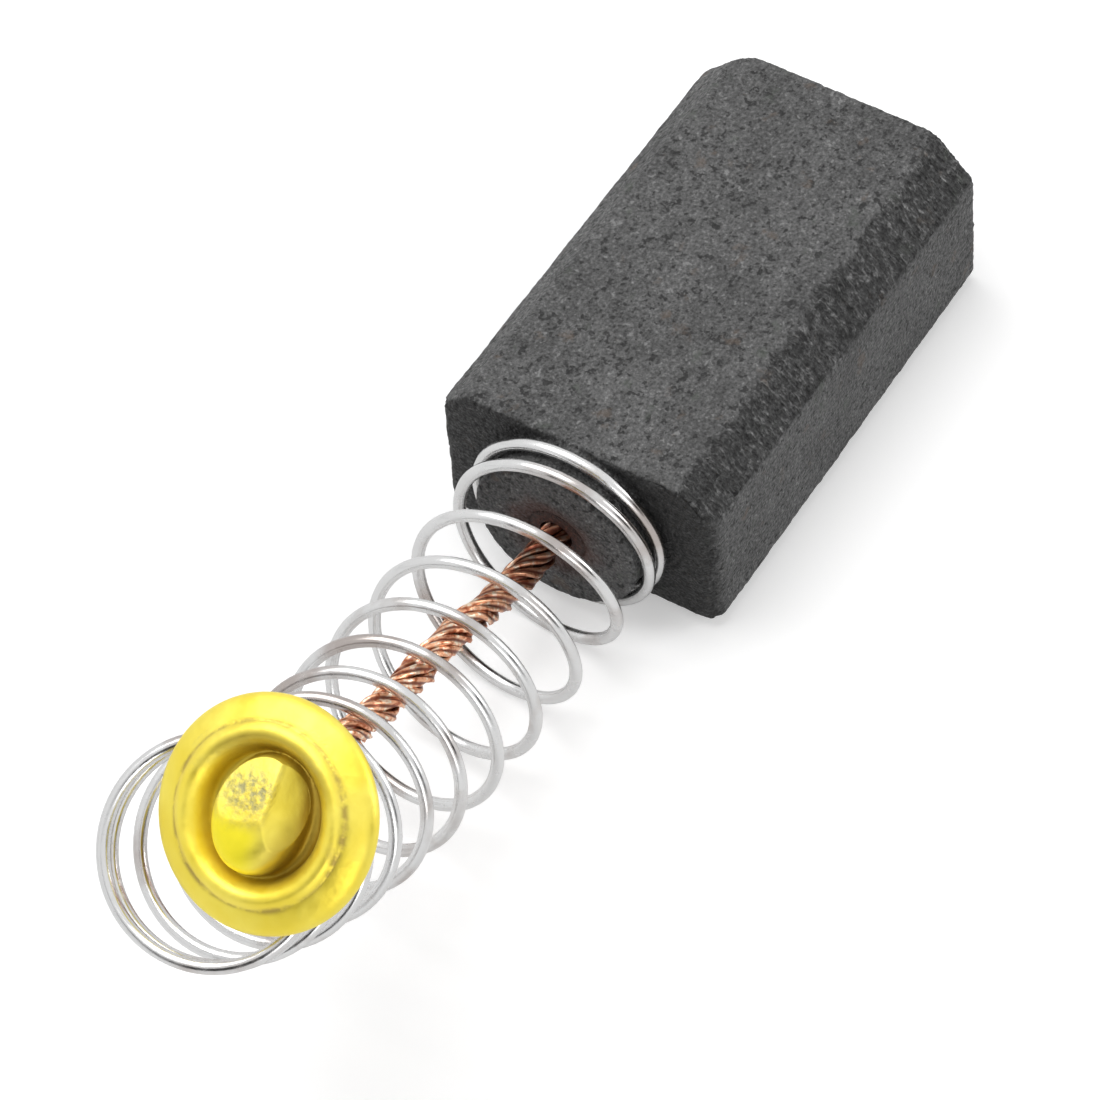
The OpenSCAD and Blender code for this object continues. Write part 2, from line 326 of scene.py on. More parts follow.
tampingLook = {
    "dark": (0.016, 0.009, 0.008), "middle": (0.060, 0.024, 0.018), "light": (0.15, 0.055, 0.035),
    "size": 0.00009, "drift": 0.0005, "roughness": 0.75, "metallic": 0.3, "bumpDepth": 0.00004,
    # the graphite's colour, and the distances from the middle over which it comes in
    "rim": (0.048, 0.034, 0.030), "rimFrom": 0.00055, "rimTo": 0.00085, "rimStrength": 0.9,
}


def tampingMaterial(look):
    material, tree, shader, place = startMaterial("tampedCopper")
    speck = placeGroup(tree, grain, [("Vector", place)], Size=look["size"], Drift=look["drift"])
    base = rampNode(tree, speck.outputs["Fine"], [
        (0.32, look["dark"]), (0.52, look["middle"]), (0.75, look["light"])])
    # graphite is mixed in towards the rim, so the hole's edge hardly shows
    across = stretched(tree, place, (0, 1, 1))
    distance = addNode(tree, "ShaderNodeVectorMath", [("Vector", across)], operation="LENGTH")
    past = maths(tree, "SUBTRACT", distance.outputs["Value"], look["rimFrom"])
    rim = clamped(tree, maths(tree, "DIVIDE", past, look["rimTo"] - look["rimFrom"]))
    base = mixColour(tree, maths(tree, "MULTIPLY", rim, look["rimStrength"]), base, opaque(look["rim"]))
    tree.links.new(base, shader.inputs["Base Color"])
    shader.inputs["Roughness"].default_value = look["roughness"]
    shader.inputs["Metallic"].default_value = look["metallic"]
    bumped(tree, shader, speck.outputs["Height"], look["bumpDepth"])
    return material


copperLook = {
    "deep": (0.46, 0.13, 0.055), "base": (0.88, 0.46, 0.27), "pale": (1.0, 0.86, 0.68),
    # the darkest red-brown is painted shade for the grooves between the fine wires
    "gap": (0.16, 0.038, 0.020), "gapMask": [(0.40, 0), (0.90, 0.92)], "soot": (0.10, 0.024, 0.014),
    "size": 0.00022, "drift": 0.0012, "roughness": (0.24, 0.44), "metallic": 0.8,
    "bumpDepth": 0.000012, "bumpStrength": 0.6,
}


def copperMaterial(look):
    material, tree, shader, place = startMaterial("copperWire")
    speck = placeGroup(tree, grain, [("Vector", place)], Size=look["size"], Drift=look["drift"])
    base = rampNode(tree, speck.outputs["Fine"], [
        (0.36, look["deep"]), (0.46, look["base"]), (0.53, look["base"]), (0.61, look["pale"])])
    # painted shade in the grooves between the fine wires
    groove = toneRamp(tree, painted(tree, "gap"), look["gapMask"])
    base = mixColour(tree, groove, base, opaque(look["gap"]))
    # soot from the tamping on the first millimetres
    base = mixColour(tree, painted(tree, "soot"), base, opaque(look["soot"]))
    tree.links.new(base, shader.inputs["Base Color"])
    low, high = look["roughness"]
    rough = toneRamp(tree, speck.outputs["Coarse"], [(0.3, low), (0.7, high)])
    tree.links.new(rough, shader.inputs["Roughness"])
    shader.inputs["Metallic"].default_value = look["metallic"]
    bumped(tree, shader, speck.outputs["Height"], look["bumpDepth"], look["bumpStrength"])
    return material


steelLook = {
    "base": 0.68, "stain": (0.34, 0.28, 0.25), "stainMask": [(0.52, 0), (0.66, 0.7)],
    "size": 0.0004, "drift": 0.0028, "roughness": (0.16, 0.32),
    "bumpDepth": 0.000008, "bumpStrength": 0.35,
}


def steelMaterial(look):
    material, tree, shader, place = startMaterial("springSteel")
    speck = placeGroup(tree, grain, [("Vector", place)], Size=look["size"], Drift=look["drift"])
    stain = toneRamp(tree, speck.outputs["Coarse"], look["stainMask"])
    base = mixColour(tree, stain, grey(look["base"]), opaque(look["stain"]))
    tree.links.new(base, shader.inputs["Base Color"])
    low, high = look["roughness"]
    rough = toneRamp(tree, speck.outputs["Fine"], [(0.35, low), (0.7, high)])
    tree.links.new(rough, shader.inputs["Roughness"])
    shader.inputs["Metallic"].default_value = 1.0
    bumped(tree, shader, speck.outputs["Height"], look["bumpDepth"], look["bumpStrength"])
    return material


brassLook = {
    "base": (0.89, 0.71, 0.065), "pale": (0.96, 0.82, 0.13), "stain": (0.36, 0.25, 0.06),
    # the dark brown is painted shade for the recess and the sides away from the light; the brightest
    # yellow is a painted highlight on the low side of the dome
    "pressed": (0.34, 0.32, 0.17), "dull": (0.33, 0.20, 0.018), "polished": (1.0, 0.86, 0.03),
    "stainStrength": 0.85, "dullStrength": 0.85, "pressedStrength": 0.9,
    "brokenMask": [(0.34, 0.15), (0.56, 1)], "bruiseMask": [(0.36, 1), (0.62, 0.25)],
    "size": 0.00030, "drift": 0.0012, "pressedSize": 0.00016, "pressedDrift": 0.0006,
    "roughness": (0.36, 0.52), "pressedRoughness": 0.6, "metallic": 0.68,
    "bumpDepth": 0.00002, "bumpStrength": 0.5, "creaseDepth": 1.5, "dentDepth": 4.0,
}


def brassMaterial(look):
    material, tree, shader, place = startMaterial("wornBrass")
    speck = placeGroup(tree, grain, [("Vector", place)], Size=look["size"], Drift=look["drift"])
    base = rampNode(tree, speck.outputs["Coarse"], [(0.35, look["base"]), (0.68, look["pale"])])
    # darker along the crease outside the ring and in one smudge, broken up by the grain
    broken = toneRamp(tree, speck.outputs["Fine"], look["brokenMask"])
    mask = maths(tree, "MULTIPLY", painted(tree, "wear"), levelOf(tree, broken))
    stained = maths(tree, "MULTIPLY", mask, look["stainStrength"])
    base = mixColour(tree, stained, base, opaque(look["stain"]))
    # painted shade in the recess and on the sides away from the light, and a painted highlight on the low
    # side of the dome
    dulled = maths(tree, "MULTIPLY", painted(tree, "dulled"), look["dullStrength"])
    base = mixColour(tree, dulled, base, opaque(look["dull"]))
    base = mixColour(tree, painted(tree, "polished"), base, opaque(look["polished"]))
    # bruised skin where the crimping tool pressed
    pressed = painted(tree, "pressed")
    bruise = placeGroup(tree, grain, [("Vector", place)],
                        Size=look["pressedSize"], Drift=look["pressedDrift"])
    bruised = toneRamp(tree, bruise.outputs["Fine"], look["bruiseMask"])
    bruiseMask = maths(tree, "MULTIPLY", pressed, levelOf(tree, bruised))
    bruiseMask = maths(tree, "MULTIPLY", bruiseMask, look["pressedStrength"])
    base = mixColour(tree, bruiseMask, base, opaque(look["pressed"]))
    tree.links.new(base, shader.inputs["Base Color"])
    low, high = look["roughness"]
    rough = toneRamp(tree, speck.outputs["Fine"], [(0.3, low), (0.75, high)])
    rough = mixColour(tree, pressed, rough, grey(look["pressedRoughness"]))
    tree.links.new(rough, shader.inputs["Roughness"])
    shader.inputs["Metallic"].default_value = look["metallic"]
    crease = maths(tree, "MULTIPLY", mask, look["creaseDepth"])
    height = maths(tree, "SUBTRACT", speck.outputs["Height"], crease)
    dents = maths(tree, "MULTIPLY", bruise.outputs["Height"], pressed)
    height = maths(tree, "ADD", height, maths(tree, "MULTIPLY", dents, look["dentDepth"]))
    bumped(tree, shader, height, look["bumpDepth"], look["bumpStrength"])
    return material


graphite = graphiteMaterial(graphiteLook)
tamped = tampingMaterial(tampingLook)
copper = copperMaterial(copperLook)
steel = steelMaterial(steelLook)
brass = brassMaterial(brassLook)
print("materials ready")


def smoothStep(x, start, end):
    t = max(0.0, min((x - start) / (end - start), 1.0))
    return t * t * (3 - 2 * t)


def deselectAll():
    if bpy.context.object and bpy.context.object.mode != "OBJECT":
        bpy.ops.object.mode_set(mode="OBJECT")
    bpy.ops.object.select_all(action="DESELECT")


def activate(piece):
    deselectAll()
    piece.select_set(True)
    bpy.context.view_layer.objects.active = piece


def applyModifier(piece, kind, **values):
    activate(piece)
    modifier = piece.modifiers.new(kind.lower(), kind)
    for name, value in values.items():
        setattr(modifier, name, value)
    bpy.ops.object.modifier_apply(modifier=modifier.name)


def cutWith(piece, tool, operation):
    applyModifier(piece, "BOOLEAN", object=tool, operation=operation, solver="EXACT")
    bpy.data.objects.remove(tool)


def paint(piece, **marks):
    for name, values in marks.items():
        piece.data.attributes.new(name, "FLOAT", "POINT").data.foreach_set("value", values)


def finishPiece(piece, name, material, nodes):
    # from millimetres to metres, with the place left in the mesh
    activate(piece)
    piece.name = name
    piece.data.transform(Matrix.Scale(toMetres, 4) @ piece.matrix_world)
    piece.matrix_world = Matrix.Identity(4)
    piece.data.materials.clear()
    piece.data.materials.append(material)
    for face in piece.data.polygons:
        face.use_smooth = True
    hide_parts(*nodes)
    return piece


block = {
    "spigotLength": 1.15, "spigotDiameter": 4.7, "spigotRoot": 0.6, "spigotEdge": 0.12,
    "holeDiameter": 1.56, "holeDepth": 3.0, "holeDip": 0.10,
    "chamferWidth": 0.88, "chamferDrop": 0.9, "chamferGrowth": 0.3, "leftChamfer": 0.86,
    # upright corners: end (0 at the wear face, 1 at the spring), side, radius
    "corners": [(0, 1, 0.55), (0, -1, 0.22), (1, 1, 0.30), (1, -1, 0.45)],
    "edge": 0.12, "voxel": 0.075,
    # how steep a face is before it counts as a chamfer
    "slope": (0.3, 0.55),
    "grainHeight": 0.014, "waveHeight": 0.014, "edgeWear": 0.12, "scrapeHeight": 0.055,
    "grainScales": (7.5, 15), "waveScale": 1.7, "nibbleScales": (2.6, 6.1),
    "scrapeScales": (5.5, 1.3, 1.3), "wanderScales": (1.9, 4.7), "wander": 0.30, "biteDepth": 0.07,
    # the face levels are painted shade: the sides, the spigot's face and most of all the end are darker
    # than the top, and the left chamfer is lifted to the top's level
    "scrapeTone": 0.36, "endTone": 0.33, "sideTone": 0.88, "leftTone": 0.2, "spigotTone": 0.88,
    "paleEdges": 0.9, "paleEdgeScale": 3.3, "paleCrest": 0.8, "paleCrestScale": 4.1,
    "dust": 0.75, "dustReach": (0.7, 1.7), "dipReach": (0.8, 1.35),
    # bites where the edges have chipped: centre in millimetres, radius
    "chips": [
        ((-0.30, 3.05, 2.72), 0.42), ((-0.95, 2.95, 2.78), 0.40), ((-0.10, -2.75, 2.62), 0.34),
        ((-13.25, 4.15, 1.65), 0.36), ((-12.6, 3.35, 2.50), 0.20), ((-13.45, -4.1, -2.55), 0.42),
        ((-8.2, -4.28, -2.62), 0.36), ((-4.6, 3.22, 2.62), 0.22), ((-6.9, -3.22, 2.60), 0.20),
        ((-10.4, -3.25, 2.58), 0.17), ((-2.6, -3.05, 2.55), 0.2), ((-13.45, -0.9, 2.60), 0.24),
        ((0.1, 1.2, 2.56), 0.22), ((0.05, -4.15, -0.4), 0.3), ((-13.4, 2.2, 2.55), 0.18),
    ],
}


def chamferBlock(length, width, top, shape):
    # one slanted plane for each long top edge, a little lower at the wear face
    bpy.ops.object.mode_set(mode="EDIT")
    growth = shape["chamferGrowth"] / length
    for side, share in ((-1, 1.0), (1, shape["leftChamfer"])):
        along = Vector((1, 0, -growth))
        down = Vector((0, side * shape["chamferWidth"], -shape["chamferDrop"]))
        outward = along.cross(down) * -side
        if outward.z < 0:
            outward = -outward
        bpy.ops.mesh.select_all(action="SELECT")
        bpy.ops.mesh.bisect(
            plane_co=(-length, side * (width / 2 - shape["chamferWidth"] * share), top),
            plane_no=outward.normalized(), clear_outer=True, use_fill=True)
    bpy.ops.object.mode_set(mode="OBJECT")


def roundUprights(piece, length, shape):
    same = 0.01
    for end, side, radius in shape["corners"]:
        bpy.ops.object.mode_set(mode="EDIT")
        bpy.ops.mesh.select_all(action="DESELECT")
        bpy.ops.mesh.select_mode(type="EDGE")
        bpy.ops.object.mode_set(mode="OBJECT")
        corners = piece.data.vertices
        for edge in piece.data.edges:
            first, second = (corners[i].co for i in edge.vertices)
            upright = abs(first.z - second.z) > 1 and abs(first.x - second.x) < same
            edge.select = upright and abs(first.x + end * length) < same and first.y * side > 0
        bpy.ops.object.mode_set(mode="EDIT")
        bpy.ops.mesh.bevel(offset=radius, offset_type="OFFSET", segments=6, affect="EDGES")
        bpy.ops.object.mode_set(mode="OBJECT")


def twoScales(place, scales, share):
    first, second = scales
    return noise.noise(place * first) + share * noise.noise(place * second)


def faceTone(shape, place, normal, slanted, scraped, width):
    # painted shade as the light falls: the top is the palest face; the end is the darkest, most of all
    # towards the scraped side; the left chamfer is painted lighter, near the top's level; the scraped
    # chamfer is darker, partly painted shade and partly its own scraped finish
    tone = shape["sideTone"] + (1 - shape["sideTone"]) * smoothStep(normal.z, 0.5, 0.95)
    tone -= scraped * shape["scrapeTone"] * (1 + 0.25 * smoothStep(-place.x, 7, 13))
    if place.y > 0:
        tone += slanted * shape["leftTone"]
    if normal.x < 0:
        tone += (shape["endTone"] - tone) * smoothStep(-normal.x, 0.3, 0.8)
        tone *= 1 - 0.22 * smoothStep(-place.y, 0, width / 2)
    return tone


def wearBlock(piece, low, high, shape):
    # pressed grain all over, uneven edges, a scraped chamfer and chips
    piece.data.update()
    tones, dusts, scrapes = [], [], []
    normals = [v.normal.copy() for v in piece.data.vertices]
    endPlane = low.x + shape["spigotLength"]
    halfWidth = high.y
    crestSlope = (shape["chamferGrowth"] / (high.x - endPlane)
                  * shape["chamferWidth"] / shape["chamferDrop"])
    for vertex, normal in zip(piece.data.vertices, normals):
        place = vertex.co.copy()
        facingUp = smoothStep(normal.z, *shape["slope"])
        slanted = smoothStep(abs(normal.y), *shape["slope"]) * facingUp
        # the scraping eats into the top face along a ragged line
        crest = halfWidth - shape["chamferWidth"] - crestSlope * (place.x - endPlane)
        past = -place.y - crest + twoScales(place, shape["wanderScales"], 0.55) * shape["wander"]
        eaten = smoothStep(past, -0.10, 0.04) * facingUp
        scraped = max(eaten, 0.5 * slanted) if place.y < 0 else 0.0
        flat = max(abs(normal.x), abs(normal.y), abs(normal.z))
        edge = (1 - slanted) * max(0.0, min((0.985 - flat) / 0.2, 1.0))
        # how far the skin moves
        fine = twoScales(place, shape["grainScales"], 0.6)
        slow = noise.noise(place * shape["waveScale"])
        across = place * Vector(shape["scrapeScales"])
        scrape = noise.noise(across) + 0.5 * noise.noise(across * 2.1)
        wide, narrow = shape["nibbleScales"]
        nibble = max(0.0, noise.noise(place * wide + Vector((5, 3, 1))))
        nibble += max(0.0, noise.noise(place * narrow))
        move = fine * shape["grainHeight"] + slow * shape["waveHeight"]
        move -= edge * nibble * shape["edgeWear"]
        move += scraped * (scrape * shape["scrapeHeight"] + fine * shape["grainHeight"] * 1.5)
        move -= scraped * (1 - slanted) * shape["biteDepth"]
        vertex.co = place + normal * (move - shape["grainHeight"])
        radius = math.hypot(place.y, place.z)
        onSpigot = place.x < endPlane - 0.05 and radius < shape["spigotDiameter"] / 2 + 0.05
        if onSpigot and normal.x < -0.4:
            # the face dips towards the tamped hole
            ragged = radius + 0.15 * noise.noise(place * 2.6)
            vertex.co.x += shape["holeDip"] * (1 - smoothStep(ragged, *shape["dipReach"]))
        # painted shade for each face, the spigot's face a little darker than the top
        tone = shape["spigotTone"]
        if not onSpigot:
            tone = faceTone(shape, place, normal, slanted, scraped, 2 * halfWidth)
        # rubbed edges and the crest of the chamfer are paler in places
        pale = edge * max(0.0, noise.noise(place * shape["paleEdgeScale"]) + 0.1)
        tone *= 1 + shape["paleEdges"] * pale
        rubbed = smoothStep(past, -0.45, -0.12) * (1 - scraped) * smoothStep(normal.z, 0.6, 0.9)
        pale = rubbed * max(0.0, noise.noise(place * shape["paleCrestScale"]) + 0.15)
        tone *= 1 + shape["paleCrest"] * pale
        tones.append(tone)
        scrapes.append(scraped)
        ragged = radius + 0.25 * noise.noise(place * 2.2)
        dust = shape["dust"] - shape["dust"] * smoothStep(ragged, *shape["dustReach"])
        dusts.append(dust if onSpigot else 0.0)
    for centre, radius in shape["chips"]:
        middle = Vector(centre)
        for vertex in piece.data.vertices:
            gap = vertex.co - middle
            if gap.length < radius:
                ragged = 1 + 0.25 * noise.noise(vertex.co * 9)
                vertex.co = middle + gap.normalized() * radius * ragged
    paint(piece, tone=tones, dust=dusts, scraped=scrapes)


def buildBlock(shape):
    low, high = (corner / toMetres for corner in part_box("carbon_block"))
    length = high.x - low.x - shape["spigotLength"]
    width, height = high.y - low.y, high.z - low.z
    deselectAll()
    bpy.ops.mesh.primitive_cube_add(
        size=1, location=(high.x - length / 2, 0, 0), scale=(length, width, height))
    piece = bpy.context.object
    bpy.ops.object.transform_apply(location=True, rotation=True, scale=True)
    chamferBlock(length, width, high.z, shape)
    roundUprights(piece, length, shape)
    applyModifier(piece, "BEVEL", width=shape["edge"], segments=2, limit_method="ANGLE",
                  angle_limit=math.radians(25))
    deselectAll()
    overlap = shape["spigotRoot"]
    bpy.ops.mesh.primitive_cylinder_add(
        vertices=96, radius=shape["spigotDiameter"] / 2, depth=shape["spigotLength"] + overlap,
        location=(low.x + (shape["spigotLength"] + overlap) / 2, 0, 0), rotation=(0, math.pi / 2, 0))
    spigot = bpy.context.object
    bpy.ops.object.transform_apply(location=True, rotation=True, scale=True)
    applyModifier(spigot, "BEVEL", width=shape["spigotEdge"], segments=3, limit_method="ANGLE",
                  angle_limit=math.radians(50))
    cutWith(piece, spigot, "UNION")
    deselectAll()
    bpy.ops.mesh.primitive_cylinder_add(
        vertices=64, radius=shape["holeDiameter"] / 2, depth=2 * shape["holeDepth"],
        location=(low.x, 0, 0), rotation=(0, math.pi / 2, 0))
    cutWith(piece, bpy.context.object, "DIFFERENCE")
    applyModifier(piece, "REMESH", mode="VOXEL", voxel_size=shape["voxel"])
    wearBlock(piece, low, high, shape)
    return piece


carbonBlock = buildBlock(block)
finishPiece(carbonBlock, "carbonBlock", graphite, ["carbon_block"])
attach(carbonBlock, "block")
print("block done:", len(carbonBlock.data.polygons), "faces")

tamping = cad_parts["contact_tamping"]
for materialSlot in tamping.material_slots:
    materialSlot.material = tamped
print("tamping done")


spring = {
    "blockLength": 13.3, "spigotRadius": 2.35, "play": 0.08, "wire": 0.33, "clearance": 0.03,
    "closedAtBlock": 1.0, "closedAtCap": 1.2, "openTurns": 8.7, "openPitch": 1.98,
    "rampAtBlock": 1.0, "rampAtCap": 0.5, "gapAtBlock": 0.12, "gapAtCap": 0.03, "startAngle": 183,
    "straight": 2.6, "bendRadius": 17.2, "bendAngle": 52, "lean": 10,
    "stepsPerTurn": 72, "sides": 14,
}


def leaned(x, rise):
    lean = math.radians(spring["lean"])
    return Vector((x, -rise * math.sin(lean), rise * math.cos(lean)))


def bendAt(s):
    angle = (s - spring["straight"]) / spring["bendRadius"]
    return max(0.0, min(angle, math.radians(spring["bendAngle"])))


def axisPoint(s):
    bend, angle = spring["bendRadius"], bendAt(s)
    end = math.radians(spring["bendAngle"])
    tail = max(s - spring["straight"] - bend * end, 0.0)
    run = min(s, spring["straight"]) + bend * math.sin(angle) + tail * math.cos(end)
    rise = bend * (1 - math.cos(angle)) + tail * math.sin(end)
    return leaned(-spring["blockLength"] - run, rise)


def axisIn(s):
    return leaned(math.sin(bendAt(s)), math.cos(bendAt(s)))


def axisDirection(s):
    return leaned(-math.cos(bendAt(s)), math.sin(bendAt(s)))


axisSide = Vector((0, math.cos(math.radians(spring["lean"])), math.sin(math.radians(spring["lean"]))))


def ramp(t, length, fromPitch, toPitch):
    x = min(max(t, 0.0), length)
    return fromPitch * x + (toPitch - fromPitch) * x * x / (2 * length)


def climb(t):
    closedA = spring["wire"] + spring["gapAtBlock"]
    closedB = spring["wire"] + spring["gapAtCap"]
    rampStart = spring["closedAtBlock"]
    openStart = rampStart + spring["rampAtBlock"]
    openEnd = openStart + spring["openTurns"]
    closedStart = openEnd + spring["rampAtCap"]
    return (
        closedA * min(t, rampStart)
        + ramp(t - rampStart, spring["rampAtBlock"], closedA, spring["openPitch"])
        + spring["openPitch"] * min(max(t - openStart, 0.0), spring["openTurns"])
        + ramp(t - openEnd, spring["rampAtCap"], spring["openPitch"], closedB)
        + closedB * max(t - closedStart, 0.0)
    )


springTurns = (spring["closedAtBlock"] + spring["rampAtBlock"] + spring["openTurns"]
               + spring["rampAtCap"] + spring["closedAtCap"])
springStart = spring["wire"] / 2 + spring["clearance"]
springEnd = springStart + climb(springTurns)
coilRadius = spring["spigotRadius"] + spring["play"] + spring["wire"] / 2


def grooveAt(angle, wires):
    # 0 on the back of a fine wire, 1 in the groove beside it
    return 0.5 - 0.5 * math.cos(wires["count"] * angle)


def ringRadius(point, side, angle, radius, wires):
    # a bundle of fine wires is wavy round its ring, and looser in some places than in others
    moved = point * wires["looseScale"] + Vector((side * 0.5, 0, 0))
    loose = 1 + wires["loose"] * noise.noise(moved)
    return radius * loose * (1 - wires["depth"] * grooveAt(angle, wires))


def sweptTube(name, points, references, radius, sides, wires=None):
    vertices, faces = [], []
    last = len(points) - 1
    twist = wires["twist"] if wires else 0.0
    for i, point in enumerate(points):
        along = (points[min(i + 1, last)] - points[max(i - 1, 0)]).normalized()
        across = (references[i] - along * references[i].dot(along)).normalized()
        other = along.cross(across)
        for k in range(sides):
            angle = 2 * math.pi * k / sides
            reach = ringRadius(point, k, angle, radius, wires) if wires else radius
            turned = angle + twist * i
            vertices.append(point + reach * (math.cos(turned) * across + math.sin(turned) * other))
    for i in range(last):
        for k in range(sides):
            a, b = i * sides + k, i * sides + (k + 1) % sides
            faces.append((a, b, b + sides, a + sides))
    faces.append(tuple(reversed(range(sides))))
    faces.append(tuple(last * sides + k for k in range(sides)))
    mesh = bpy.data.meshes.new(name)
    mesh.from_pydata(vertices, [], faces)
    mesh.update()
    piece = bpy.data.objects.new(name, mesh)
    bpy.context.scene.collection.objects.link(piece)
    return piece


def buildSpring():
    steps = math.ceil(springTurns * spring["stepsPerTurn"])
    points, references = [], []
    for i in range(steps + 1):
        t = springTurns * i / steps
        s = springStart + climb(t)
        angle = math.radians(spring["startAngle"]) + 2 * math.pi * t
        outward = math.cos(angle) * axisIn(s) + math.sin(angle) * axisSide
        points.append(axisPoint(s) + coilRadius * outward)
        references.append(outward)
    return sweptTube("springWire", points, references, spring["wire"] / 2, spring["sides"])


cap = {
    "diameter": 5.5, "sheet": 0.22, "segments": 128, "voxel": 0.042,
    "shiftIn": 1.66, "shiftSide": 1.0, "tilt": 8.5, "lean": 5,
    "domeHeight": 1.25, "domeFoot": 1.43, "domeWall": 1.22, "domeWidth": 0.91, "domeLength": 1.13,
    "mouth": (1.45, 1.9), "mouthWidth": -0.02, "mouthLength": 0.03,
    "brimWave": 0.014, "brimScale": 1.6, "domeWave": 0.012, "domeScale": 2.6,
    # half section from the rim to the middle: radius and height of each ring
    "rings": [
        (2.64, 0.00), (2.70, 0.04), (2.745, 0.12), (2.75, 0.22), (2.72, 0.32), (2.66, 0.40),
        (2.57, 0.47), (2.46, 0.53), (2.35, 0.585), (2.25, 0.63), (2.19, 0.65), (2.155, 0.652),
        (2.13, 0.665), (2.09, 0.71), (2.04, 0.76), (1.97, 0.805), (1.89, 0.825), (1.81, 0.815),
        (1.73, 0.78), (1.65, 0.72), (1.58, 0.64), (1.52, 0.55), (1.475, 0.45), (1.45, 0.36),
        (1.43, 0.29), (1.40, 0.255), (1.33, 0.25), (1.27, 0.262), (1.235, 0.30), (1.22, 0.36),
        (1.21, 0.46), (1.20, 0.56), (1.19, 0.66), (1.175, 0.76), (1.15, 0.86), (1.115, 0.95),
        (1.07, 1.03), (1.01, 1.10), (0.93, 1.16), (0.83, 1.205), (0.72, 1.235), (0.60, 1.25),
        (0.47, 1.255), (0.33, 1.255), (0.18, 1.255),
    ],
    # flats that the crimping tool left on the dome:
    # direction round it, lean, distance from the middle, height there
    "flats": [(112, 20, -0.02, 1.235), (28, 48, 0.40, 1.20)],
    # where the marks are, in millimetres from the cap's middle
    "creaseRadius": 2.14, "smudge": (2.05, -0.1), "smudgeSize": (0.16, 0.5),
    "bruise": (-0.24, 0.50), "bruiseSize": (0.62, 0.44),
    # how strong the painted shade is in the recess, on its side away from the light, on the dome's steep
    # side and on the mouth's wall
    "dullRecess": 0.55, "dullSide": 0.45, "dullSteep": 0.75, "dullWall": 0.65,
}
endDirection = axisDirection(springEnd)
capLift = (spring["wire"] / 2 + 2 * spring["clearance"]
           + cap["diameter"] / 2 * math.sin(math.radians(cap["tilt"])))
capAxis = (endDirection * math.cos(math.radians(cap["tilt"]))
           + axisSide * math.sin(math.radians(cap["tilt"]))
           - axisIn(springEnd) * math.sin(math.radians(cap["lean"]))).normalized()
capPoint = (axisPoint(springEnd) + endDirection * capLift + axisIn(springEnd) * cap["shiftIn"]
            - axisSide * cap["shiftSide"])


def buildCap(shape):
    # a disc drawn in ring by ring to the pressed section
    rings = shape["rings"]
    deselectAll()
    bpy.ops.mesh.primitive_circle_add(vertices=shape["segments"], radius=rings[0][0], fill_type="NOTHING",
                                      location=(0, 0, rings[0][1]))
    piece = bpy.context.object
    bpy.ops.object.transform_apply(location=True, rotation=True, scale=True)
    bpy.ops.object.mode_set(mode="EDIT")
    bpy.ops.mesh.select_all(action="SELECT")
    for (before, low), (radius, high) in zip(rings, rings[1:]):
        bpy.ops.mesh.extrude_region_move(TRANSFORM_OT_translate={"value": (0, 0, high - low)})
        scale = radius / before
        bpy.ops.transform.resize(value=(scale, scale, 1), center_override=(0, 0, 0))
    bpy.ops.mesh.edge_face_add()
    bpy.ops.mesh.select_all(action="SELECT")
    bpy.ops.mesh.normals_make_consistent(inside=False)
    bpy.ops.object.mode_set(mode="OBJECT")
    squeezeDome(piece, shape)
    applyModifier(piece, "SOLIDIFY", thickness=shape["sheet"], offset=-1, use_rim=True)
    applyModifier(piece, "SUBSURF", levels=1, render_levels=1)
    applyModifier(piece, "REMESH", mode="VOXEL", voxel_size=shape["voxel"])
    applyModifier(piece, "SMOOTH", factor=0.5, iterations=4)
    pressDome(piece, shape)
    applyModifier(piece, "SMOOTH", factor=0.5, iterations=2)
    markWear(piece, shape)
    sideways = (Vector((0, -1, 0)) - capAxis * Vector((0, -1, 0)).dot(capAxis)).normalized()
    upwards = capAxis.cross(sideways)
    turn = Matrix((sideways, upwards, capAxis)).transposed().to_4x4()
    piece.data.transform(Matrix.Translation(capPoint) @ turn)
    return piece


def flatPlane(flat):
    direction, lean, away, height = flat
    turn, tip = math.radians(direction), math.radians(lean)
    normal = Vector((math.cos(turn) * math.sin(tip), math.sin(turn) * math.sin(tip), math.cos(tip)))
    return Vector((away * math.cos(turn), away * math.sin(turn), height)), normal


def squeezeDome(piece, shape):
    # the crimp squeezes the dome to an oval, and its mouth a little with it
    for vertex in piece.data.vertices:
        place = vertex.co
        radius = math.hypot(place.x, place.y)
        share = (shape["domeFoot"] - radius) / (shape["domeFoot"] - shape["domeWall"])
        squeeze = max(0.0, min(1.0, share))
        mouth = 1 - smoothStep(radius, *shape["mouth"])
        place.x *= 1 + (shape["domeWidth"] - 1) * squeeze + shape["mouthWidth"] * mouth
        place.y *= 1 + (shape["domeLength"] - 1) * squeeze + shape["mouthLength"] * mouth


def pressDome(piece, shape):
    # flats from the crimping tool; the rest of the sheet is a little uneven
    piece.data.update()
    normals = [v.normal.copy() for v in piece.data.vertices]
    for vertex, skin in zip(piece.data.vertices, normals):
        place = vertex.co
        if math.hypot(place.x, place.y) > shape["domeFoot"] + 0.03:
            wave = noise.noise(Vector((place.x, place.y, 0)) * shape["brimScale"])
            place.z += shape["brimWave"] * wave * min(1.0, place.z * 3)
            continue
        depth = 0.0 if skin.z > 0 else shape["sheet"]
        for flat in shape["flats"]:
            middle, normal = flatPlane(flat)
            above = (place - middle).dot(normal) + depth
            if above > 0 and place.z > 0.4:
                # straight down onto the plane, so the outline keeps its place
                place.z -= above / normal.z * 0.98
        if depth == 0 and place.z > 0.6:
            place.z += shape["domeWave"] * noise.noise(place * shape["domeScale"])


def spot(place, centre, size):
    # a soft oval mark: 1 at its centre, seen from above
    away = ((place.x - centre[0]) / size[0]) ** 2 + ((place.y - centre[1]) / size[1]) ** 2
    return math.exp(-away)


